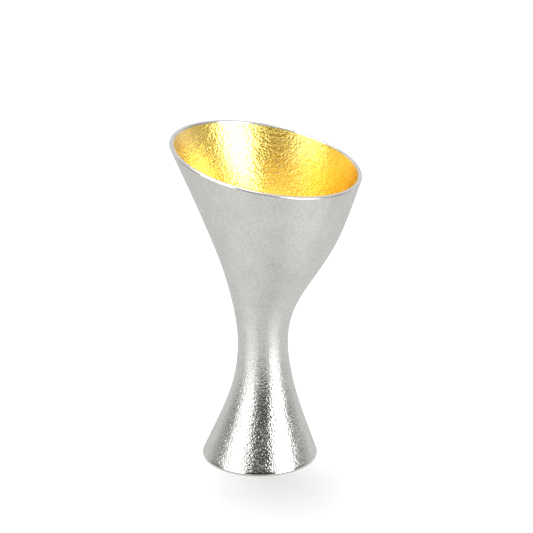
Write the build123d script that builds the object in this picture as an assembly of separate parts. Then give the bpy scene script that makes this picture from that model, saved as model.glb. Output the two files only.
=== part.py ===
from build123d import *
import os

import numpy as np

# Double-ended bar jigger in cast tin, millimetres.
#
# An hourglass: a large slanted-mouth measure stands on a small measure that is
# turned upside down and serves as the foot. Each measure is its own casting.
# The castings butt at the waist, are centred by a short turned register, are
# drawn together by a headless stud, and the V-groove round the seam is filled
# with tin solder and dressed flush. The large measure has a gold leaf lining.
#
# Row frame: origin at the centre of the foot's resting ring, +Z up, +X towards
# the low side of the slanted mouth. The part is symmetric about the XZ plane.

# ------------------------------------------------------------------ dimensions
# Outer skin. Every horizontal section is a circle: height, radius, and the
# offset of its centre along +X. Natural cubic splines run through the stations.
STATION_Z = [0, 6, 12, 18, 24, 30, 35, 40, 45, 50, 55, 60, 66, 72, 80, 88, 96, 104, 112, 120]
STATION_R = [19.01, 16.70, 14.39, 12.24, 10.44, 9.15, 8.49, 8.27, 8.56, 9.46, 10.94, 12.90,
             15.63, 18.43, 21.89, 24.96, 27.89, 31.04, 34.37, 37.74]
STATION_C = [0, 0.31, 0.60, 0.87, 1.07, 1.14, 1.09, 1.02, 1.04, 1.25, 1.76, 2.56,
             3.62, 4.45, 4.91, 4.80, 4.48, 4.26, 4.18, 4.13]

MOUTH_Z = 104.98      # height of the mouth plane above the origin
MOUTH_SLOPE = 0.1858  # fall of the mouth plane per unit of +X, 10.5 degrees
WALL = 1.4            # wall thickness of both castings, square to the skin

LIP_OUTER_R = 0.50    # rounding of the polished lip, outside
LIP_INNER_R = 0.35    # rounding of the polished lip, inside
FOOT_OUTER_R = 0.45   # rounding of the foot ring, outside
FOOT_INNER_R = 0.35   # rounding of the foot ring, inside

SEAM_Z = 39.4         # joint between the two castings, at the narrowest waist
LARGE_FLOOR_Z = 45.6  # inside bottom of the large measure
LARGE_FLOOR_R = 3.6   # rounding between its floor and its wall
SMALL_CEILING_Z = 33.0  # inside bottom of the small measure, seen as a ceiling
SMALL_CEILING_R = 3.2

GROOVE_ROOT_R = 7.5   # V-groove round the seam, 45 degrees each way
REGISTER_R = 5.0      # turned register on the large measure's underside
REGISTER_H = 1.5
REGISTER_GAP = 0.03
STUD_R = 2.5          # M5 headless stud
STUD_Z = (35.6, 43.4)
STUD_HOLE_Z = (35.2, 43.8)
STUD_CHAMFER = 0.5

LEAF = 0.12           # gold leaf with its size and lacquer coats
LEAF_BELOW_LIP = 0.42  # the leaf stops this far under the mouth plane
SIZE_FILM = 0.01      # gap between tin and leaf


# --------------------------------------------------------------------- profile
def natural_spline(xs, ys):
    """Natural cubic spline through the points, as a function of x and the derivative's order (0 or 1)."""
    xs, ys = np.array(xs, float), np.array(ys, float)
    n, h = len(xs), np.diff(xs)
    a, b = np.eye(n), np.zeros(n)
    for i in range(1, n - 1):
        a[i, i - 1 : i + 2] = h[i - 1], 2 * (h[i - 1] + h[i]), h[i]
        b[i] = 6 * ((ys[i + 1] - ys[i]) / h[i] - (ys[i] - ys[i - 1]) / h[i - 1])
    m = np.linalg.solve(a, b)

    def value(x, order=0):
        i = int(np.clip(np.searchsorted(xs, x) - 1, 0, n - 2))
        u, v = xs[i + 1] - x, x - xs[i]
        if order:
            return float(
                (m[i + 1] * v * v - m[i] * u * u) / (2 * h[i])
                + (ys[i + 1] - ys[i]) / h[i]
                - (m[i + 1] - m[i]) * h[i] / 6
            )
        return float(
            (m[i] * u**3 + m[i + 1] * v**3) / (6 * h[i])
            + (ys[i] / h[i] - m[i] * h[i] / 6) * u
            + (ys[i + 1] / h[i] - m[i + 1] * h[i] / 6) * v
        )

    return value


radius = natural_spline(STATION_Z, STATION_R)
centre = natural_spline(STATION_Z, STATION_C)


def section(z, inset=0.0):
    """Centre offset and radius of the skin at height z, moved inwards by inset, square to the skin."""
    r, c, dr, dc = radius(z), centre(z), radius(z, 1), centre(z, 1)
    left = inset * (1 + (dr - dc) ** 2) ** 0.5
    right = inset * (1 + (dr + dc) ** 2) ** 0.5
    return c + (left - right) / 2, r - (left + right) / 2


def skin_solid(z_low, z_high, inset=0.0, steps=24):
    """Solid inside the skin, moved inwards by inset, between two heights."""
    wires = []
    for z in np.linspace(z_low, z_high, steps):
        c, r = section(float(z), inset)
        wires.append(Wire.make_circle(r, Plane((c, 0, float(z)))))
    return Solid.make_loft(wires)


def above_mouth(drop=0.0):
    """Block that takes away everything above the mouth plane, lowered by drop along its normal."""
    plane = Plane(origin=(0, 0, MOUTH_Z), z_dir=(MOUTH_SLOPE, 0, 1)).offset(-drop)
    return plane * Box(160, 160, 60, align=(Align.CENTER, Align.CENTER, Align.MIN))


def edges_near(shape, test):
    return [e for e in shape.edges() if test(e)]


def on_height(edge, z, tol=0.02):
    box = edge.bounding_box()
    return abs(box.min.Z - z) < tol and abs(box.max.Z - z) < tol


def on_mouth(edge, drop=0.0, tol=0.03):
    level = MOUTH_Z - drop * (1 + MOUTH_SLOPE**2) ** 0.5
    points = [edge.position_at(t) for t in (0.0, 0.21, 0.47, 0.73)]
    return all(abs(p.Z + MOUTH_SLOPE * p.X - level) < tol for p in points)


def mouth_size(edge):
    return edge.bounding_box().size.Y


# ------------------------------------------------------------- inside volumes
TOP = 114.0


def large_space(inset):
    """Inside space of the large measure, with a rounded floor."""
    floor = LARGE_FLOOR_Z + (inset - WALL)
    space = skin_solid(floor, TOP, inset, 30)
    rim = edges_near(space, lambda e: on_height(e, floor))
    return space.fillet(LARGE_FLOOR_R - (inset - WALL), rim)


def small_space(inset):
    """Inside space of the small measure, run out below the foot."""
    space = skin_solid(0.0, SMALL_CEILING_Z, inset, 16)
    rim = edges_near(space, lambda e: on_height(e, SMALL_CEILING_Z))
    space = space.fillet(SMALL_CEILING_R, rim)
    c, r = section(0.0, inset)
    return space + Pos(c, 0, -1) * Cylinder(r, 1.0, align=(Align.CENTER, Align.CENTER, Align.MIN))


# ------------------------------------------------------------------ the seam
waist_x = centre(SEAM_Z)
REACH = 1.6
groove = Solid.revolve(
    Face(
        Wire.make_polygon(
            [
                (waist_x + GROOVE_ROOT_R, 0, SEAM_Z),
                (waist_x + GROOVE_ROOT_R + REACH, 0, SEAM_Z - REACH),
                (waist_x + GROOVE_ROOT_R + REACH, 0, SEAM_Z + REACH),
            ]
        )
    ),
    360,
    Axis((waist_x, 0, SEAM_Z), (0, 0, 1)),
)
solder_seam = groove & skin_solid(SEAM_Z - REACH, SEAM_Z + REACH, 0.0, 7)
solder_seam = solder_seam.solid()

# --------------------------------------------------------------- large measure
large_measure = skin_solid(SEAM_Z, TOP, 0.0, 34) - above_mouth()
large_measure = large_measure - large_space(WALL)
large_measure = large_measure.solid()
lip = sorted(edges_near(large_measure, on_mouth), key=mouth_size)
print("lip edges", [round(mouth_size(e), 2) for e in lip])
large_measure = large_measure.fillet(LIP_OUTER_R, [lip[-1]])
lip = sorted(edges_near(large_measure, on_mouth), key=mouth_size)
large_measure = large_measure.fillet(LIP_INNER_R, [lip[0]])
register = Pos(waist_x, 0, SEAM_Z - REGISTER_H) * Cylinder(
    REGISTER_R, REGISTER_H + 0.5, align=(Align.CENTER, Align.CENTER, Align.MIN)
)
large_measure = large_measure + register
large_measure = large_measure - groove
large_measure = large_measure - Pos(waist_x, 0, SEAM_Z - 5) * Cylinder(
    STUD_R, STUD_HOLE_Z[1] - SEAM_Z + 5, align=(Align.CENTER, Align.CENTER, Align.MIN)
)

# --------------------------------------------------------------- small measure
small_measure = skin_solid(0.0, SEAM_Z, 0.0, 18)
small_measure = (small_measure - small_space(WALL)).solid()
ring = sorted(
    edges_near(small_measure, lambda e: on_height(e, 0.0)),
    key=lambda e: e.bounding_box().size.X,
)
print("foot edges", [round(e.bounding_box().size.X, 2) for e in ring])
small_measure = small_measure.fillet(FOOT_OUTER_R, [ring[-1]])
ring = sorted(
    edges_near(small_measure, lambda e: on_height(e, 0.0)),
    key=lambda e: e.bounding_box().size.X,
)
small_measure = small_measure.fillet(FOOT_INNER_R, [ring[0]])
small_measure = small_measure - Pos(waist_x, 0, SEAM_Z - REGISTER_H - 0.1) * Cylinder(
    REGISTER_R + REGISTER_GAP, 5, align=(Align.CENTER, Align.CENTER, Align.MIN)
)
small_measure = small_measure - groove
small_measure = small_measure - Pos(waist_x, 0, STUD_HOLE_Z[0]) * Cylinder(
    STUD_R, 10, align=(Align.CENTER, Align.CENTER, Align.MIN)
)

# ------------------------------------------------------------------- the stud
joint_stud = Pos(waist_x, 0, STUD_Z[0]) * Cylinder(
    STUD_R, STUD_Z[1] - STUD_Z[0], align=(Align.CENTER, Align.CENTER, Align.MIN)
)
joint_stud = joint_stud.chamfer(
    STUD_CHAMFER, None, [e for e in joint_stud.edges() if e.geom_type == GeomType.CIRCLE]
)

# ------------------------------------------------------------- the gold lining
gold_lining = large_space(WALL + SIZE_FILM) - large_space(WALL + SIZE_FILM + LEAF)
gold_lining = (gold_lining - above_mouth(LEAF_BELOW_LIP)).solid()

# -------------------------------------------------------------------- volumes
MOUTH_LOW_Z = 98.90   # lowest point of the large measure's lip
brim = large_space(WALL + SIZE_FILM + LEAF) - Pos(0, 0, MOUTH_LOW_Z) * Box(
    160, 160, 60, align=(Align.CENTER, Align.CENTER, Align.MIN)
)
small = small_space(WALL) - Box(160, 160, 10, align=(Align.CENTER, Align.CENTER, Align.MAX))
print("large measure, level with the low side of its mouth, ml:", round(brim.volume / 1000, 2))
print("small measure, brimful, ml:", round(small.volume / 1000, 2))

PARTS = {
    "large_measure": large_measure,
    "small_measure": small_measure,
    "joint_stud": joint_stud,
    "solder_seam": solder_seam,
    "gold_lining": gold_lining,
}

os.makedirs("parts", exist_ok=True)
for name, shape in PARTS.items():
    print(name, "solids", len(shape.solids()), "volume mm3", round(shape.volume, 1), "valid", shape.is_valid)
    export_step(shape, f"parts/{name}.step")
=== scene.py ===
import math

import bpy
import numpy as np
from mathutils import Matrix, Vector


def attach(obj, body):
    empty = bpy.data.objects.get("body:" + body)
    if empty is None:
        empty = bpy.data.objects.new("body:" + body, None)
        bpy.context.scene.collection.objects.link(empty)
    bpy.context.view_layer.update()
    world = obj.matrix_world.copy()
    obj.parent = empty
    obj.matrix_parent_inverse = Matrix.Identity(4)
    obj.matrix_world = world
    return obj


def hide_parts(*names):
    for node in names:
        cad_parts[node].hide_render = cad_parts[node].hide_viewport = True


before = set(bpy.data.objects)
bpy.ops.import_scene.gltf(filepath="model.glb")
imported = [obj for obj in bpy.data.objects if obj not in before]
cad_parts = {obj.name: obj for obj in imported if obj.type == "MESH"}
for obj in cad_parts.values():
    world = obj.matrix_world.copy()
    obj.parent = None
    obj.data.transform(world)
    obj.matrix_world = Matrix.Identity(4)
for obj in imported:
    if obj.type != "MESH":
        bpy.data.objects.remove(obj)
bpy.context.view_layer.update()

MM = 0.001

# --------------------------------------------------------------------------
# The jigger's own geometry, millimetres, as in the CAD
# --------------------------------------------------------------------------
STATION_Z = [0, 6, 12, 18, 24, 30, 35, 40, 45, 50, 55, 60, 66, 72, 80, 88, 96, 104, 112, 120]
STATION_R = [19.01, 16.70, 14.39, 12.24, 10.44, 9.15, 8.49, 8.27, 8.56, 9.46, 10.94, 12.90,
             15.63, 18.43, 21.89, 24.96, 27.89, 31.04, 34.37, 37.74]
STATION_C = [0, 0.31, 0.60, 0.87, 1.07, 1.14, 1.09, 1.02, 1.04, 1.25, 1.76, 2.56,
             3.62, 4.45, 4.91, 4.80, 4.48, 4.26, 4.18, 4.13]
MOUTH_Z = 104.98
MOUTH_SLOPE = 0.1858
WALL = 1.4
LIP_OUTER_R = 0.50
LIP_INNER_R = 0.35
FOOT_OUTER_R = 0.45
FOOT_INNER_R = 0.35
SEAM_Z = 39.4
LARGE_FLOOR_Z = 45.6
LARGE_FLOOR_R = 3.6
SMALL_CEILING_Z = 33.0
SMALL_CEILING_R = 3.2
GROOVE_ROOT_R = 7.5
REGISTER_R = 5.0
REGISTER_H = 1.5
REGISTER_GAP = 0.03
STUD_R = 2.5
STUD_Z = (35.6, 43.4)
STUD_HOLE_Z = (35.2, 43.8)
STUD_PITCH = 0.8
STUD_DEPTH = 0.46
LEAF = 0.12
LEAF_BELOW_LIP = 0.42
SIZE_FILM = 0.01


class Spline:
    """Natural cubic spline, for arrays."""

    def __init__(self, xs, ys):
        self.x, self.y = np.array(xs, float), np.array(ys, float)
        n = len(xs)
        h = np.diff(self.x)
        a, b = np.eye(n), np.zeros(n)
        for i in range(1, n - 1):
            a[i, i - 1:i + 2] = h[i - 1], 2 * (h[i - 1] + h[i]), h[i]
            b[i] = 6 * ((self.y[i + 1] - self.y[i]) / h[i] - (self.y[i] - self.y[i - 1]) / h[i - 1])
        self.m, self.h = np.linalg.solve(a, b), h

    def __call__(self, q, order=0):
        q = np.asarray(q, float)
        i = np.clip(np.searchsorted(self.x, q) - 1, 0, len(self.x) - 2)
        h, u, v = self.h[i], self.x[i + 1] - q, q - self.x[i]
        a, b, y0, y1 = self.m[i], self.m[i + 1], self.y[i], self.y[i + 1]
        if order:
            return (b * v * v - a * u * u) / (2 * h) + (y1 - y0) / h - (b - a) * h / 6
        return (a * u**3 + b * v**3) / (6 * h) + (y0 / h - a * h / 6) * u + (y1 / h - b * h / 6) * v


radius = Spline(STATION_Z, STATION_R)
centre = Spline(STATION_Z, STATION_C)
WAIST_X = float(centre(SEAM_Z))


def section(z, inset=0.0):
    r, c, dr, dc = radius(z), centre(z), radius(z, 1), centre(z, 1)
    left = inset * np.sqrt(1 + (dr - dc) ** 2)
    right = inset * np.sqrt(1 + (dr + dc) ** 2)
    return c + (left - right) / 2, r - (left + right) / 2


def surf(z, ph, inset=0.0):
    z, ph = np.broadcast_arrays(np.asarray(z, float), np.asarray(ph, float))
    c, r = section(z, inset)
    return np.stack([c + r * np.cos(ph), r * np.sin(ph), z], -1)


def unit(v):
    return v / np.maximum(np.linalg.norm(v, axis=-1, keepdims=True), 1e-12)


def outward(z, ph, inset=0.0):
    """Outward normal of the smooth skin."""
    d = 0.02
    z, ph = np.broadcast_arrays(np.asarray(z, float), np.asarray(ph, float))
    tp = surf(z, ph + d, inset) - surf(z, ph - d, inset)
    tz = surf(z + d, ph, inset) - surf(z - d, ph, inset)
    return unit(np.cross(tp, tz))


# --------------------------------------------------------------------------
# Grain of the sand casting: seeded three-dimensional gradient noise, so the
# skins of neighbouring pieces run on into each other
# --------------------------------------------------------------------------
_rng = np.random.RandomState(23)
_PERM = np.tile(_rng.permutation(256), 3)
_GRAD = unit(_rng.normal(size=(256, 3)))


def noise(p):
    p = np.asarray(p, float)
    i = np.floor(p).astype(np.int64)
    f = p - i
    u = f * f * f * (f * (f * 6 - 15) + 10)
    i &= 255
    out = np.zeros(p.shape[:-1])
    for dx in (0, 1):
        wx = u[..., 0] if dx else 1 - u[..., 0]
        hx = _PERM[i[..., 0] + dx]
        for dy in (0, 1):
            wy = wx * (u[..., 1] if dy else 1 - u[..., 1])
            hy = _PERM[hx + i[..., 1] + dy]
            for dz in (0, 1):
                w = wy * (u[..., 2] if dz else 1 - u[..., 2])
                g = _GRAD[_PERM[hy + i[..., 2] + dz]]
                out += w * (g[..., 0] * (f[..., 0] - dx) + g[..., 1] * (f[..., 1] - dy) + g[..., 2] * (f[..., 2] - dz))
    return out


TURN = np.array([[0.36, 0.48, -0.80], [-0.80, 0.60, 0.00], [0.48, 0.64, 0.60]])


def grain(p):
    """Height of the cast skin, mm: pebbles under a millimetre across, on a very slight waviness."""
    q = p @ TURN.T
    h = 0.062 * noise(q / 0.60 + 31.7)
    h += 0.020 * noise(q / 1.2 + 7.3)
    h += 0.05 * noise(q / 6.5 + 3.1)
    return h


def leaf_grain(p):
    q = p @ TURN.T
    h = 0.070 * noise(q / 0.80 + 11.7)
    h += 0.050 * noise(q / 1.6 + 57.3)
    h += 0.06 * noise(q / 7.0 + 13.1)
    return h


def smooth(t):
    t = np.clip(t, 0, 1)
    return t * t * (3 - 2 * t)


# --------------------------------------------------------------------------
# Mesh building: a shell is a run of closed rings, bridged one to the next
# --------------------------------------------------------------------------
class Shell:
    def __init__(self):
        self.p, self.n, self.w, self.count = [], [], [], 0
        self.quads, self.tris = [], []

    def ring(self, points, normals=None, polish=0.0):
        k = len(points)
        self.p.append(points)
        self.n.append(np.full((k, 3), np.nan) if normals is None else normals)
        self.w.append(np.broadcast_to(np.asarray(polish, float), (k,)))
        first = self.count
        self.count += k
        return (first, k)

    def bridge(self, a, b, group=0):
        (a0, na), (b0, nb) = a, b
        if na == nb:
            i = np.arange(na)
            j = (i + 1) % na
            q = np.stack([a0 + i, a0 + j, b0 + j, b0 + i], 1)
            self.quads.append((q, group))
        elif nb == 2 * na:
            i = np.arange(na)
            j = (i + 1) % na
            t = np.concatenate([
                np.stack([a0 + i, b0 + 2 * i + 1, b0 + 2 * i], 1),
                np.stack([a0 + i, a0 + j, b0 + 2 * i + 1], 1),
                np.stack([a0 + j, b0 + (2 * i + 2) % nb, b0 + 2 * i + 1], 1)])
            self.tris.append((t, group))
        elif na == 2 * nb:
            i = np.arange(nb)
            j = (i + 1) % nb
            t = np.concatenate([
                np.stack([a0 + 2 * i, a0 + 2 * i + 1, b0 + i], 1),
                np.stack([a0 + 2 * i + 1, b0 + j, b0 + i], 1),
                np.stack([a0 + 2 * i + 1, a0 + (2 * i + 2) % na, b0 + j], 1)])
            self.tris.append((t, group))
        else:
            raise ValueError((na, nb))

    def fan(self, ring, point, group=0, close=False):
        """A centre point joined to a ring: before the ring in the run, or after it where close is true."""
        f, k = ring
        c, _ = self.ring(np.array([point], float))
        i = np.arange(k)
        j = (i + 1) % k
        if close:
            t = np.stack([f + i, f + j, np.full(k, c)], 1)
        else:
            t = np.stack([np.full(k, c), f + j, f + i], 1)
        self.tris.append((t, group))

    def mesh(self, name):
        co = np.concatenate(self.p)
        an = np.concatenate(self.n)
        w = np.concatenate(self.w)
        faces, starts, totals, groups = [], [], [], []
        at = 0
        for block, group in self.quads + self.tris:
            k = block.shape[1]
            faces.append(block.ravel())
            starts.append(at + k * np.arange(len(block)))
            totals.append(np.full(len(block), k))
            groups.append(np.full(len(block), group))
            at += block.size
        loops = np.concatenate(faces)
        starts, totals, groups = np.concatenate(starts), np.concatenate(totals), np.concatenate(groups)
        me = bpy.data.meshes.new(name)
        me.vertices.add(len(co))
        me.vertices.foreach_set("co", (co * MM).astype(np.float32).ravel())
        me.loops.add(len(loops))
        me.loops.foreach_set("vertex_index", loops.astype(np.int32))
        me.polygons.add(len(starts))
        me.polygons.foreach_set("loop_start", starts.astype(np.int32))
        me.polygons.foreach_set("use_smooth", np.ones(len(starts), bool))
        me.update(calc_edges=True)
        if me.validate(verbose=False):
            print("mesh was repaired:", name)
        # normals: averaged inside each smooth group, exact on the grained skins
        face_of = np.repeat(np.arange(len(starts)), totals)
        p0, p1, p2 = co[loops[starts]], co[loops[starts + 1]], co[loops[starts + 2]]
        last = co[loops[starts + totals - 1]]
        fnorm = np.where((totals == 4)[:, None], np.cross(p2 - p0, last - p1), np.cross(p1 - p0, p2 - p0))
        key = groups[face_of] * len(co) + loops
        acc = np.zeros(((groups.max() + 1) * len(co), 3))
        for axis in range(3):
            acc[:, axis] = np.bincount(key, weights=fnorm[face_of, axis], minlength=len(acc))
        ln = unit(acc[key])
        exact = (~np.isnan(an[loops, 0])) & (groups[face_of] == 0)
        ln[exact] = an[loops[exact]]
        me.normals_split_custom_set(ln.astype(np.float32).tolist())
        att = me.attributes.new("polish", "FLOAT", "POINT")
        att.data.foreach_set("value", w.astype(np.float32))
        me.update()
        return me


def grained(z, ph, inset, amount, height, side=1.0):
    """Skin points and exact normals once the grain stands on them. side is -1 on an inside wall, whose normal faces the axis."""

    def at(zz, pp):
        base = surf(zz, pp, inset)
        return base + (side * amount * height(base))[..., None] * outward(zz, pp, inset)

    z, ph, amount = np.broadcast_arrays(np.asarray(z, float), np.asarray(ph, float), np.asarray(amount, float))
    p = at(z, ph)
    d = 0.10
    r = section(z, inset)[1]
    tp = at(z, ph + d / r) - at(z, ph - d / r)
    tz = at(z + d, ph) - at(z - d, ph)
    return p, side * unit(np.cross(tp, tz))


def angles(n):
    return 2 * np.pi * np.arange(n) / n


def circle(n, r, z, x=None):
    ph = angles(n)
    x = WAIST_X if x is None else x
    return np.stack([x + r * np.cos(ph), r * np.sin(ph), np.full(n, float(z))], -1)


def mouth_corner(ph, inset=0.0, drop=0.0):
    level = MOUTH_Z - drop * math.sqrt(1 + MOUTH_SLOPE**2)
    z = np.full_like(ph, level)
    for _ in range(40):
        c, r = section(z, inset)
        z = level - MOUTH_SLOPE * (c + r * np.cos(ph))
    return z


MOUTH_N = unit(np.array([MOUTH_SLOPE, 0.0, 1.0]))


def corner_arc(corner, n0, n1, r, steps):
    """Rounding of radius r in the corner between faces with normals n0 and n1: points and normals, from face 0 to face 1."""
    n1 = np.broadcast_to(n1, n0.shape)
    g = (n0 * n1).sum(-1, keepdims=True)
    c = corner - r / (1 + g) * (n0 + n1)
    w = np.arccos(np.clip(g, -1, 1))
    out = []
    for t in np.linspace(0, 1, steps + 1):
        d = (np.sin((1 - t) * w) * n0 + np.sin(t * w) * n1) / np.sin(w)
        out.append((c + r * d, unit(d)))
    return out


def groove_edge(sign):
    """Height at which the seam's V-groove meets the skin, above (+1) or below (-1) the seam."""
    z = SEAM_Z + sign * 0.8
    for _ in range(40):
        z = SEAM_Z + sign * (float(radius(z)) - GROOVE_ROOT_R)
    return z


GROOVE_TOP, GROOVE_BOTTOM = groove_edge(1), groove_edge(-1)
SEAM_RING = 288


def seam_ring(n, z):
    ph = angles(n)
    return grained(np.full(n, z), ph, 0.0, 1.0, grain)


# ------------------------------------------------------------ large measure
def build_large():
    s = Shell()
    n_in = 144
    hole_top = s.ring(circle(48 * 3, STUD_R, STUD_HOLE_Z[1]))
    s.fan(hole_top, (WAIST_X, 0, STUD_HOLE_Z[1]), group=1)
    low = s.ring(circle(144, STUD_R, SEAM_Z - REGISTER_H))
    s.bridge(hole_top, low, group=2)
    reg = s.ring(circle(144, REGISTER_R - 0.15, SEAM_Z - REGISTER_H))
    s.bridge(low, reg, group=3)
    reg2 = s.ring(circle(144, REGISTER_R, SEAM_Z - REGISTER_H + 0.15))
    s.bridge(reg, reg2, group=4)
    reg3 = s.ring(circle(144, REGISTER_R, SEAM_Z))
    s.bridge(reg2, reg3, group=5)
    root = s.ring(circle(144, GROOVE_ROOT_R, SEAM_Z))
    s.bridge(reg3, root, group=6)
    p, nn = seam_ring(SEAM_RING, GROOVE_TOP)
    prev = s.ring(p, nn, 0.0)
    s.bridge(root, prev, group=7)
    # outer skin up to the lip
    n = SEAM_RING
    ts, t = [], 0.0
    mean_top = 104.4
    while True:
        z = GROOVE_TOP + t * (mean_top - GROOVE_TOP)
        r = float(radius(z))
        step = 0.36 if r > 17 else 0.34
        slope = math.sqrt(1 + float(radius(z, 1)) ** 2)
        t += step / slope / (mean_top - GROOVE_TOP)
        if t > 1 - 0.4 * step / slope / (mean_top - GROOVE_TOP):
            break
        ts.append((t, 576 if r > 17.2 else 288))
    for t, n in ts:
        ph = angles(n)
        zc = mouth_corner(ph)
        corner = surf(zc, ph)
        arc = corner_arc(corner, outward(zc, ph), MOUTH_N, LIP_OUTER_R, 7)
        tip = arc[0][0]
        zt = tip[:, 2]
        ph_t = np.arctan2(tip[:, 1], tip[:, 0] - centre(zt))
        shift = (ph_t - ph + np.pi) % (2 * np.pi) - np.pi
        z = GROOVE_TOP + t * (zt - GROOVE_TOP)
        below = zt - z
        amount = smooth((below - 0.15) / 1.0)
        p, nn = grained(z, ph + shift * t**6, 0.0, amount, grain)
        ring = s.ring(p, nn, 1 - amount)
        s.bridge(prev, ring)
        prev = ring
    # the lip
    for p, nn in arc:
        ring = s.ring(p, nn, 1.0)
        s.bridge(prev, ring)
        prev = ring
    zi = mouth_corner(ph, WALL)
    inner = surf(zi, ph, WALL)
    arc_in = corner_arc(inner, -outward(zi, ph, WALL), MOUTH_N, LIP_INNER_R, 5)[::-1]
    for k in (1, 2):
        mid = arc[-1][0] + (arc_in[0][0] - arc[-1][0]) * k / 3
        ring = s.ring(mid, np.broadcast_to(MOUTH_N, mid.shape), 1.0)
        s.bridge(prev, ring)
        prev = ring
    for p, nn in arc_in:
        ring = s.ring(p, nn, 1.0)
        s.bridge(prev, ring)
        prev = ring
    zt_in = arc_in[-1][0][:, 2]
    # inner wall behind the leaf
    floor_top = LARGE_FLOOR_Z + LARGE_FLOOR_R
    for n, k in ((288, 0.012), (144, 0.03)):
        step = 576 // n
        z = zt_in[::step] + (floor_top - zt_in[::step]) * k
        p, nn = surf(z, angles(n), WALL), -outward(z, angles(n), WALL)
        ring = s.ring(p, nn, 0.5)
        s.bridge(prev, ring)
        prev = ring
    ph = angles(144)
    zt_in = zt_in[::4]
    for k in np.linspace(0.03, 1, 34)[1:]:
        z = zt_in + (floor_top - zt_in) * k
        ring = s.ring(surf(z, ph, WALL), -outward(z, ph, WALL), 0.0)
        s.bridge(prev, ring)
        prev = ring
    for a in np.linspace(0, math.pi / 2, 9)[1:]:
        z = floor_top - LARGE_FLOOR_R * math.sin(a)
        c, r = section(z, WALL)
        r = r - LARGE_FLOOR_R * (1 - math.cos(a))
        ring = s.ring(circle(144, float(r), z, float(c)))
        s.bridge(prev, ring)
        prev = ring
    s.fan(prev, (float(c), 0, z), close=True)
    return s.mesh("large_measure_cast")


# ------------------------------------------------------------ small measure
def build_small():
    s = Shell()
    # foot corner data
    n = 576
    ph = angles(n)
    z0 = np.zeros(n)
    outer_arc = corner_arc(surf(z0, ph), outward(z0, ph), np.array([0.0, 0.0, -1.0]), FOOT_OUTER_R, 6)
    inner_arc = corner_arc(surf(z0, ph, WALL), -outward(z0, ph, WALL), np.array([0.0, 0.0, -1.0]), FOOT_INNER_R, 5)
    foot_top_in = float(inner_arc[0][0][:, 2].mean())
    foot_top_out = float(outer_arc[0][0][:, 2].mean())
    # ceiling of the small measure, from its centre outwards: the run goes centre, ceiling, inner wall down, foot, skin up
    c, r = section(SMALL_CEILING_Z, WALL)
    r_flat = float(r) - SMALL_CEILING_R
    ceiling = SMALL_CEILING_Z

    def ceil_ring(k, rr, z, x, tilt=None):
        pts = circle(k, rr, z, x)
        return pts

    first = s.ring(circle(144, r_flat * 0.34, ceiling, float(c)))
    s.fan(first, (float(c), 0, ceiling))
    prev = first
    for q in (0.67, 1.0):
        ring = s.ring(circle(144, r_flat * q, ceiling, float(c)))
        s.bridge(prev, ring)
        prev = ring
    for a in np.linspace(math.pi / 2, 0, 11)[1:]:
        z = ceiling - SMALL_CEILING_R + SMALL_CEILING_R * math.sin(a)
        cc, rr = section(z, WALL)
        rr = float(rr) - SMALL_CEILING_R * (1 - math.cos(a))
        ring = s.ring(circle(144, rr, z, float(cc)))
        s.bridge(prev, ring)
        prev = ring
    zs = np.linspace(ceiling - SMALL_CEILING_R, foot_top_in, 74)
    for z in zs[1:]:
        nn_ = 288
        fade = smooth((ceiling - SMALL_CEILING_R - z) / 1.5) * smooth((z - foot_top_in - 0.1) / 0.9)
        if z == zs[-1]:
            nn_ = 576
            p, nrm = inner_arc[0]
        else:
            p, nrm = grained(np.full(nn_, z), angles(nn_), WALL, fade, grain, -1.0)
        ring = s.ring(p, nrm, 1 - smooth((z - foot_top_in - 0.1) / 0.9))
        s.bridge(prev, ring)
        prev = ring
    for p, nrm in inner_arc[1:]:
        ring = s.ring(p, nrm, 1.0)
        s.bridge(prev, ring)
        prev = ring
    for p, nrm in outer_arc[::-1]:
        ring = s.ring(p, nrm, 1.0)
        s.bridge(prev, ring)
        prev = ring
    zs = list(np.arange(foot_top_out + 0.22, 19.0, 0.23)) + list(np.arange(19.0, GROOVE_BOTTOM - 0.15, 0.25)) + [GROOVE_BOTTOM]
    for z in zs:
        nn_ = 576 if z < 19.0 else 288
        amount = smooth((z - foot_top_out - 0.05) / 0.8)
        p, nrm = grained(np.full(nn_, z), angles(nn_), 0.0, amount, grain)
        ring = s.ring(p, nrm, 1 - amount)
        s.bridge(prev, ring)
        prev = ring
    root = s.ring(circle(144, GROOVE_ROOT_R, SEAM_Z))
    s.bridge(prev, root, group=1)
    bore = s.ring(circle(144, REGISTER_R + REGISTER_GAP, SEAM_Z))
    s.bridge(root, bore, group=2)
    deep = s.ring(circle(144, REGISTER_R + REGISTER_GAP, SEAM_Z - REGISTER_H - 0.1))
    s.bridge(bore, deep, group=3)
    hole = s.ring(circle(144, STUD_R, SEAM_Z - REGISTER_H - 0.1))
    s.bridge(deep, hole, group=4)
    end = s.ring(circle(144, STUD_R, STUD_HOLE_Z[0]))
    s.bridge(hole, end, group=5)
    s.fan(end, (WAIST_X, 0, STUD_HOLE_Z[0]), group=6, close=True)
    return s.mesh("small_measure_cast")


# -------------------------------------------------------------- solder seam
def build_seam():
    s = Shell()
    root = s.ring(circle(144, GROOVE_ROOT_R, SEAM_Z))
    prev = root
    for k, z in enumerate(np.linspace(GROOVE_BOTTOM, GROOVE_TOP, 9)):
        p, nrm = seam_ring(SEAM_RING, z)
        ring = s.ring(p, nrm, 0.0)
        s.bridge(prev, ring, group=1 if k == 0 else 0)
        prev = ring
    s.bridge(prev, root, group=2)
    return s.mesh("solder_ring")


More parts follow.
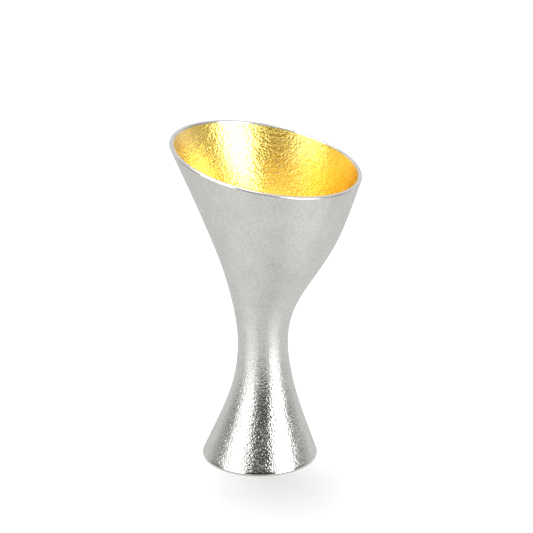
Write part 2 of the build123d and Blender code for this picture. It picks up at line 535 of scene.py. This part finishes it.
# -------------------------------------------------------------- joint stud
def build_stud():
    s = Shell()
    n, rows = 96, 118
    ph = angles(n)
    low, high = STUD_Z
    prev = None
    for k in range(rows + 1):
        z = low + (high - low) * k / rows
        phase = (z / STUD_PITCH - ph / (2 * np.pi)) % 1.0
        tooth = np.clip((np.abs(phase - 0.5) * 2 - 0.125) / 0.75, 0, 1)
        r = STUD_R - STUD_DEPTH * tooth
        chamfer = STUD_R - 0.5 + min(z - low, high - z)
        r = np.minimum(r, chamfer)
        ring = s.ring(np.stack([WAIST_X + r * np.cos(ph), r * np.sin(ph), np.full(n, z)], -1))
        if prev is None:
            s.fan(ring, (WAIST_X, 0, z), group=1)
        else:
            s.bridge(prev, ring)
        prev = ring
    s.fan(prev, (WAIST_X, 0, high), group=2, close=True)
    return s.mesh("joint_stud_threaded")


# ---------------------------------------------------------------- gold leaf
def build_leaf():
    s = Shell()
    out, inn = WALL + SIZE_FILM, WALL + SIZE_FILM + LEAF
    fr_out, fr_in = LARGE_FLOOR_R - SIZE_FILM, LARGE_FLOOR_R - SIZE_FILM - LEAF
    floor_out, floor_in = LARGE_FLOOR_Z + SIZE_FILM, LARGE_FLOOR_Z + SIZE_FILM + LEAF
    # underside, centre outwards, then up behind the leaf
    c, r = section(floor_out, out)
    ring = s.ring(circle(144, float(r) - fr_out, floor_out, float(c)))
    s.fan(ring, (float(c), 0, floor_out), group=1)
    prev = ring
    for a in np.linspace(math.pi / 2, 0, 9)[1:]:
        z = floor_out + fr_out - fr_out * math.sin(a)
        cc, rr = section(z, out)
        ring = s.ring(circle(144, float(rr) - fr_out * (1 - math.cos(a)), z, float(cc)))
        s.bridge(prev, ring, group=1)
        prev = ring
    ph = angles(144)
    zt = mouth_corner(ph, out, LEAF_BELOW_LIP)
    base = floor_out + fr_out
    for k in np.linspace(0, 1, 34)[1:-2]:
        z = base + (zt - base) * k
        ring = s.ring(surf(z, ph, out))
        s.bridge(prev, ring, group=1)
        prev = ring
    for n, k in ((288, 0.985), (576, 1.0)):
        phn = angles(n)
        ztn = mouth_corner(phn, out, LEAF_BELOW_LIP)
        ring = s.ring(surf(base + (ztn - base) * k, phn, out))
        s.bridge(prev, ring, group=1)
        prev = ring
    # the leaf's visible face, from the mouth down
    base = floor_in + fr_in
    mean_top = 103.9
    z = mean_top
    ts = [0.0]
    while z > base + 0.3:
        slope = math.sqrt(1 + float(radius(z, 1)) ** 2)
        z -= 0.37 / slope
        ts.append(min(1.0, (mean_top - z) / (mean_top - base)))
    ts[-1] = 1.0
    for k, t in enumerate(ts):
        zm = mean_top + (base - mean_top) * t
        n = 576 if zm > 68 else 288
        phn = angles(n)
        ztn = mouth_corner(phn, inn, LEAF_BELOW_LIP)
        z = ztn + (base - ztn) * t
        amount = smooth((ztn - z) / 0.7) * (1 - smooth((t - 0.97) / 0.03))
        p, nrm = grained(z, phn, inn, amount, leaf_grain, -1.0)
        ring = s.ring(p, nrm, 0.0)
        s.bridge(prev, ring, group=2 if k == 0 else 0)
        prev = ring
    for k, a in enumerate(np.linspace(0, math.pi / 2, 13)[1:]):
        z = base - fr_in * math.sin(a)
        cc, rr = section(z, inn)
        n = 288 if k < 4 else 144
        ring = s.ring(circle(n, float(rr) - fr_in * (1 - math.cos(a)), z, float(cc)))
        s.bridge(prev, ring)
        prev = ring
    s.fan(prev, (float(cc), 0, z), close=True)
    return s.mesh("gold_leaf")


# --------------------------------------------------------------------------
# Materials
# --------------------------------------------------------------------------
def new_material(name):
    mat = bpy.data.materials.new(name)
    mat.use_nodes = True
    nt = mat.node_tree
    nt.nodes.clear()
    out = nt.nodes.new("ShaderNodeOutputMaterial")
    bsdf = nt.nodes.new("ShaderNodeBsdfPrincipled")
    nt.links.new(bsdf.outputs["BSDF"], out.inputs["Surface"])
    return mat, nt, bsdf


def node(nt, kind, **values):
    nd = nt.nodes.new(kind)
    for key, value in values.items():
        if key in nd.inputs:
            nd.inputs[key].default_value = value
        else:
            setattr(nd, key, value)
    return nd


def noise_node(nt, coord, size_mm, detail=2.0, rough=0.5, distortion=0.0):
    nd = nt.nodes.new("ShaderNodeTexNoise")
    nd.inputs["Scale"].default_value = 1.0 / (size_mm * MM)
    nd.inputs["Detail"].default_value = detail
    nd.inputs["Roughness"].default_value = rough
    nd.inputs["Distortion"].default_value = distortion
    nt.links.new(coord, nd.inputs["Vector"])
    return nd.outputs["Fac"]


def ramp(nt, fac, stops):
    nd = nt.nodes.new("ShaderNodeValToRGB")
    el = nd.color_ramp.elements
    while len(el) < len(stops):
        el.new(0.5)
    for e, (pos, col) in zip(el, stops):
        e.position = pos
        e.color = (*col, 1.0) if not isinstance(col, float) else (col, col, col, 1.0)
    nt.links.new(fac, nd.inputs["Fac"])
    return nd.outputs["Color"]


def math_node(nt, op, a, b=None):
    nd = nt.nodes.new("ShaderNodeMath")
    nd.operation = op
    for k, v in enumerate((a, b)):
        if v is None:
            continue
        if isinstance(v, (int, float)):
            nd.inputs[k].default_value = v
        else:
            nt.links.new(v, nd.inputs[k])
    return nd.outputs[0]


def map_range(nt, value, a, b, c, d):
    nd = nt.nodes.new("ShaderNodeMapRange")
    nd.inputs["From Min"].default_value = a
    nd.inputs["From Max"].default_value = b
    nd.inputs["To Min"].default_value = c
    nd.inputs["To Max"].default_value = d
    nt.links.new(value, nd.inputs["Value"])
    return nd.outputs["Result"]


def mix_value(nt, fac, a, b):
    """a where fac is 0, b where it is 1."""
    nd = nt.nodes.new("ShaderNodeMix")
    nd.data_type = "FLOAT"
    nt.links.new(fac, nd.inputs[0])
    for k, v in ((2, a), (3, b)):
        if isinstance(v, (int, float)):
            nd.inputs[k].default_value = v
        else:
            nt.links.new(v, nd.inputs[k])
    return nd.outputs[0]


def bump(nt, height, distance_mm, strength=1.0, normal=None):
    nd = nt.nodes.new("ShaderNodeBump")
    nd.inputs["Distance"].default_value = distance_mm * MM
    if isinstance(strength, (int, float)):
        nd.inputs["Strength"].default_value = strength
    else:
        nt.links.new(strength, nd.inputs["Strength"])
    nt.links.new(height, nd.inputs["Height"])
    if normal is not None:
        nt.links.new(normal, nd.inputs["Normal"])
    return nd.outputs["Normal"]


def tin_material():
    mat, nt, bsdf = new_material("cast_tin_sand_skin")
    co = nt.nodes.new("ShaderNodeTexCoord").outputs["Object"]
    att = nt.nodes.new("ShaderNodeAttribute")
    att.attribute_name = "polish"
    polish = att.outputs["Fac"]
    rough_skin = math_node(nt, "SUBTRACT", 1.0, polish)
    # colour: pale warm grey, clouded very slightly, a touch darker between the pebbles
    cloud = noise_node(nt, co, 7.0, 3.0, 0.55)
    pebble = noise_node(nt, co, 0.50, 2.0, 0.5)
    tone = math_node(nt, "ADD", math_node(nt, "MULTIPLY", cloud, 0.22), math_node(nt, "MULTIPLY", pebble, 0.78))
    col = ramp(nt, tone, [(0.34, (0.63, 0.62, 0.59)), (0.50, (0.77, 0.761, 0.732)), (0.66, (0.87, 0.861, 0.834))])
    nt.links.new(col, bsdf.inputs["Base Color"])
    bsdf.inputs["Metallic"].default_value = 1.0
    # finish: matt pits, brighter tops, bright polished lip and foot edge
    fine = noise_node(nt, co, 0.35, 2.0, 0.6)
    r_skin = map_range(nt, fine, 0.3, 0.7, 0.11, 0.20)
    r_pol = map_range(nt, fine, 0.3, 0.7, 0.10, 0.16)
    nt.links.new(mix_value(nt, polish, r_skin, r_pol), bsdf.inputs["Roughness"])
    # relief finer than the mesh
    b1 = bump(nt, noise_node(nt, co, 0.50, 1.5, 0.5), 0.135, rough_skin)
    b2 = bump(nt, noise_node(nt, co, 0.22, 1.0, 0.5), 0.015, rough_skin, b1)
    # turning marks left by the polishing buff, so faint that they only soften the glint
    b3 = bump(nt, noise_node(nt, co, 1.4, 3.0, 0.6), 0.012, polish, b2)
    nt.links.new(b3, bsdf.inputs["Normal"])
    return mat


def gold_material():
    mat, nt, bsdf = new_material("gold_leaf_crinkled")
    co = nt.nodes.new("ShaderNodeTexCoord").outputs["Object"]
    sheet = noise_node(nt, co, 9.0, 3.0, 0.6)
    pebble = noise_node(nt, co, 1.0, 3.0, 0.55)
    tone = math_node(nt, "ADD", math_node(nt, "MULTIPLY", sheet, 0.45), math_node(nt, "MULTIPLY", pebble, 0.55))
    col = ramp(nt, tone, [(0.30, (0.98, 0.60, 0.03)), (0.50, (1.0, 0.67, 0.055)), (0.72, (1.0, 0.74, 0.11))])
    nt.links.new(col, bsdf.inputs["Base Color"])
    bsdf.inputs["Metallic"].default_value = 1.0
    fine = noise_node(nt, co, 0.5, 2.0, 0.6)
    nt.links.new(map_range(nt, fine, 0.3, 0.7, 0.19, 0.31), bsdf.inputs["Roughness"])
    # clear lacquer over the leaf
    bsdf.inputs["Coat Weight"].default_value = 1.0
    bsdf.inputs["Coat Roughness"].default_value = 0.12
    bsdf.inputs["Coat IOR"].default_value = 2.2
    # wrinkles of the leaf over the grain of the casting
    b1 = bump(nt, noise_node(nt, co, 0.60, 2.0, 0.55, 0.4), 0.122)
    b2 = bump(nt, noise_node(nt, co, 0.28, 1.0, 0.5), 0.02, 1.0, b1)
    nt.links.new(b2, bsdf.inputs["Normal"])
    nt.links.new(b2, bsdf.inputs["Coat Normal"])
    return mat


def steel_material():
    mat, nt, bsdf = new_material("stud_steel_turned")
    co = nt.nodes.new("ShaderNodeTexCoord").outputs["Object"]
    fac = noise_node(nt, co, 0.8, 3.0, 0.6)
    col = ramp(nt, fac, [(0.3, (0.42, 0.42, 0.43)), (0.7, (0.62, 0.62, 0.63))])
    nt.links.new(col, bsdf.inputs["Base Color"])
    bsdf.inputs["Metallic"].default_value = 1.0
    nt.links.new(map_range(nt, fac, 0.3, 0.7, 0.25, 0.42), bsdf.inputs["Roughness"])
    nt.links.new(bump(nt, noise_node(nt, co, 0.12, 2.0, 0.6), 0.01), bsdf.inputs["Normal"])
    return mat


TIN = tin_material()
GOLD = gold_material()
STEEL = steel_material()


def place(mesh, material, cad_node):
    ob = bpy.data.objects.new(mesh.name, mesh)
    bpy.context.scene.collection.objects.link(ob)
    mesh.materials.append(material)
    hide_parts(cad_node)
    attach(ob, "root")
    return ob


place(build_large(), TIN, "large_measure")
place(build_small(), TIN, "small_measure")
place(build_seam(), TIN, "solder_seam")
place(build_stud(), STEEL, "joint_stud")
LEAF_PIECE = place(build_leaf(), GOLD, "gold_lining")

# --------------------------------------------------------------------------
# Camera
# --------------------------------------------------------------------------
ELEV = math.radians(23.3563)
DIST = 1.670737
back = Vector((0.0, -math.cos(ELEV), math.sin(ELEV)))
up = Vector((0.0, math.sin(ELEV), math.cos(ELEV)))
target = Vector((0.0, 0.0, 0.055525))
eye = target + DIST * back
# the object stands left of and below the middle of the frame
aim = target + Vector((0.0022206, 0, 0)) + up * 0.010206
cam_data = bpy.data.cameras.new("camera")
cam_data.sensor_width = 36.0
cam_data.sensor_fit = "HORIZONTAL"
cam_data.lens = 5115.27 / 533 * 36.0
cam_data.clip_start = 0.05
cam_data.clip_end = 50.0
cam_data.dof.use_dof = False
cam = bpy.data.objects.new("camera", cam_data)
bpy.context.scene.collection.objects.link(cam)
axis_z = (eye - aim).normalized()
axis_x = Vector((0, 0, 1)).cross(axis_z).normalized()
axis_y = axis_z.cross(axis_x)
cam.matrix_world = Matrix.Translation(eye) @ Matrix((axis_x, axis_y, axis_z)).transposed().to_4x4()
bpy.context.scene.camera = cam

# --------------------------------------------------------------------------
# Studio
# --------------------------------------------------------------------------
scene = bpy.context.scene
scene.view_settings.view_transform = "Standard"
scene.view_settings.look = "None"
scene.view_settings.exposure = 0.0
scene.view_settings.gamma = 1.0


def visible(ob, camera=True, diffuse=True, glossy=True, shadow=True):
    ob.visible_camera = camera
    ob.visible_diffuse = diffuse
    ob.visible_glossy = glossy
    ob.visible_transmission = glossy
    ob.visible_volume_scatter = False
    ob.visible_shadow = shadow


def flat_mesh(name, points, faces, material):
    me = bpy.data.meshes.new(name)
    me.from_pydata([tuple(p) for p in points], [], faces)
    me.materials.append(material)
    ob = bpy.data.objects.new(name, me)
    scene.collection.objects.link(ob)
    return ob


def emission_material(name, colour, strength):
    mat = bpy.data.materials.new(name)
    mat.use_nodes = True
    nt = mat.node_tree
    nt.nodes.clear()
    out = nt.nodes.new("ShaderNodeOutputMaterial")
    em = nt.nodes.new("ShaderNodeEmission")
    em.inputs["Color"].default_value = (*colour, 1.0)
    em.inputs["Strength"].default_value = strength
    nt.links.new(em.outputs[0], out.inputs["Surface"])
    return mat


def paper_material(name, albedo, painted_glow, sheen_rough=None):
    """White paper: diffuse or with a soft sheen, with painted light of its own: a constant glow, or a glow that rises
    away from a point in front of the foot and so paints a shadow there.
    """
    mat = bpy.data.materials.new(name)
    mat.use_nodes = True
    nt = mat.node_tree
    nt.nodes.clear()
    out = nt.nodes.new("ShaderNodeOutputMaterial")
    if sheen_rough is None:
        df = nt.nodes.new("ShaderNodeBsdfDiffuse")
        df.inputs["Color"].default_value = (albedo, albedo, albedo, 1.0)
    else:
        df = nt.nodes.new("ShaderNodeBsdfPrincipled")
        df.inputs["Base Color"].default_value = (albedo, albedo, albedo, 1.0)
        df.inputs["Roughness"].default_value = sheen_rough
        df.inputs["IOR"].default_value = 2.0
    em = nt.nodes.new("ShaderNodeEmission")
    if isinstance(painted_glow, tuple):
        # painted light and shade: the paper's glow rises with the distance from a point in front of the foot, so the
        # dimmer paper near the foot is a painted shadow over the lamps' own shadow
        geo = nt.nodes.new("ShaderNodeNewGeometry")
        distance_from_painted_shadow = nt.nodes.new("ShaderNodeVectorMath")
        distance_from_painted_shadow.operation = "DISTANCE"
        distance_from_painted_shadow.inputs[1].default_value = (0.003, -0.022, 0.0)
        nt.links.new(geo.outputs["Position"], distance_from_painted_shadow.inputs[0])
        nt.links.new(map_range(nt, distance_from_painted_shadow.outputs["Value"], *painted_glow), em.inputs["Strength"])
    else:
        em.inputs["Strength"].default_value = painted_glow
    add = nt.nodes.new("ShaderNodeAddShader")
    nt.links.new(df.outputs[0], add.inputs[0])
    nt.links.new(em.outputs[0], add.inputs[1])
    nt.links.new(add.outputs[0], out.inputs["Surface"])
    return mat


# the floor that is seen, with a painted shadow in front of the foot, and the same floor as the metal sees it
H = 3.0
quad = [(-H, -H, 0), (H, -H, 0), (H, H, 0), (-H, H, 0)]
floor_seen = flat_mesh("floor_seen", [(x, y, -0.00002) for x, y, _ in quad], [(0, 1, 2, 3)], paper_material("paper_seen_painted_shadow", 1.0, (0.0, 0.050, 0.076, 0.42)))
visible(floor_seen, camera=True, diffuse=False, glossy=False, shadow=False)
floor_lit = flat_mesh("floor_lit", [(x, y, -0.00006) for x, y, _ in quad], [(0, 1, 2, 3)], paper_material("paper_lit", 0.60, 0.0, 0.30))
visible(floor_lit, camera=False, diffuse=True, glossy=True, shadow=False)

# white backdrop all round, only for the eye
dome_pts, dome_faces = [], []
NU, NV, RD = 48, 24, 12.0
for v in range(NV + 1):
    for u in range(NU):
        a, b = 2 * math.pi * u / NU, math.pi * v / NV - math.pi / 2
        dome_pts.append((RD * math.cos(b) * math.cos(a), RD * math.cos(b) * math.sin(a), RD * math.sin(b)))
for v in range(NV):
    for u in range(NU):
        dome_faces.append((v * NU + u, v * NU + (u + 1) % NU, (v + 1) * NU + (u + 1) % NU, (v + 1) * NU + u))
dome = flat_mesh("backdrop", dome_pts, dome_faces, emission_material("backdrop_white", (1, 1, 1), 1.15))
visible(dome, camera=True, diffuse=False, glossy=False, shadow=False)

world = bpy.data.worlds.new("studio")
scene.world = world
world.use_nodes = True
wt = world.node_tree
wt.nodes.clear()
w_out = wt.nodes.new("ShaderNodeOutputWorld")
w_bg = wt.nodes.new("ShaderNodeBackground")
w_bg.inputs["Strength"].default_value = 1.0
# the studio itself: dim walls at the sides and in front, a white backdrop behind, a paler ceiling
w_dir = wt.nodes.new("ShaderNodeTexCoord")
w_xyz = wt.nodes.new("ShaderNodeSeparateXYZ")
wt.links.new(w_dir.outputs["Generated"], w_xyz.inputs[0])
w_side = ramp(wt, w_xyz.outputs["Z"], [(0.0, 0.25), (0.15, 0.25), (0.45, 0.55), (0.80, 0.80)])
w_behind = ramp(wt, w_xyz.outputs["Y"], [(0.30, 0.0), (0.65, 1.0)])
w_mix = wt.nodes.new("ShaderNodeMix")
w_mix.data_type = "RGBA"
w_mix.inputs[7].default_value = (0.80, 0.80, 0.80, 1.0)
wt.links.new(w_behind, w_mix.inputs[0])
wt.links.new(w_side, w_mix.inputs[6])
wt.links.new(w_mix.outputs[2], w_bg.inputs["Color"])
wt.links.new(w_bg.outputs[0], w_out.inputs["Surface"])


def softbox(name, azimuth, distance, height, width, tall, radiance, colour=(1, 1, 1)):
    """Rectangular softbox facing the object. azimuth is counted from the camera's side, + to the right."""
    a = math.radians(azimuth)
    pos = Vector((distance * math.sin(a), -distance * math.cos(a), height))
    data = bpy.data.lights.new(name, "AREA")
    data.shape = "RECTANGLE"
    data.size, data.size_y = width, tall
    data.energy = radiance * math.pi * width * tall
    data.color = colour
    ob = bpy.data.objects.new(name, data)
    scene.collection.objects.link(ob)
    z = (pos - Vector((0, 0, height * 0.9))).normalized()
    x = Vector((0, 0, 1)).cross(z).normalized()
    y = z.cross(x)
    ob.matrix_world = Matrix.Translation(pos) @ Matrix((x, y, z)).transposed().to_4x4()
    ob.visible_camera = False
    return ob


def lights_only(light, *pieces):
    """The light reaches these pieces and nothing else."""
    group = bpy.data.collections.new(light.name + "_receivers")
    for ob in pieces:
        group.objects.link(ob)
    light.light_linking.receiver_collection = group


def skips(light, *pieces):
    """The light reaches everything but these pieces."""
    lights_only(light, *pieces)
    for entry in light.light_linking.receiver_collection.collection_objects:
        entry.light_linking.link_state = "EXCLUDE"


# two softboxes in front, flagged off the paper the eye sees, and one overhead, a little behind
skips(softbox("softbox_right", 50.5, 0.85, 0.50, 0.57, 0.95, 3.4), floor_seen, LEAF_PIECE)
skips(softbox("softbox_left", -52, 0.85, 0.50, 0.72, 0.95, 1.8), floor_seen, LEAF_PIECE)
softbox("softbox_top", 192, 0.32, 0.92, 0.5, 0.5, 4.0)
# the lights that fall into the bowl
COOL = (0.76, 0.87, 1.0)
lights_only(softbox("bowl_right", 50.5, 0.85, 0.50, 0.56, 0.95, 6.2, COOL), LEAF_PIECE)
lights_only(softbox("bowl_left", -50, 0.85, 0.50, 0.66, 0.95, 1.8, COOL), LEAF_PIECE)
lights_only(softbox("bowl_side", 118, 0.85, 0.40, 0.65, 0.70, 0.28), LEAF_PIECE)
lights_only(softbox("bowl_front", 0, 0.80, 0.62, 0.60, 0.30, 0.34), LEAF_PIECE)


def card(name, azimuth_from, azimuth_to, distance, low, high, radiance):
    """Curved card round the camera's side, seen only in reflections."""
    pts, faces = [], []
    steps = 16
    for k in range(steps + 1):
        a = math.radians(azimuth_from + (azimuth_to - azimuth_from) * k / steps)
        for z in (low, high):
            pts.append((distance * math.sin(a), -distance * math.cos(a), z))
    for k in range(steps):
        faces.append((2 * k, 2 * k + 2, 2 * k + 3, 2 * k + 1))
    ob = flat_mesh(name, pts, faces, emission_material(name + "_cloth", (1, 1, 1), radiance))
    visible(ob, camera=False, diffuse=False, glossy=True, shadow=False)
    return ob


card("dark_gap", -30, 29, 0.75, 0.0, 0.40, 0.04)
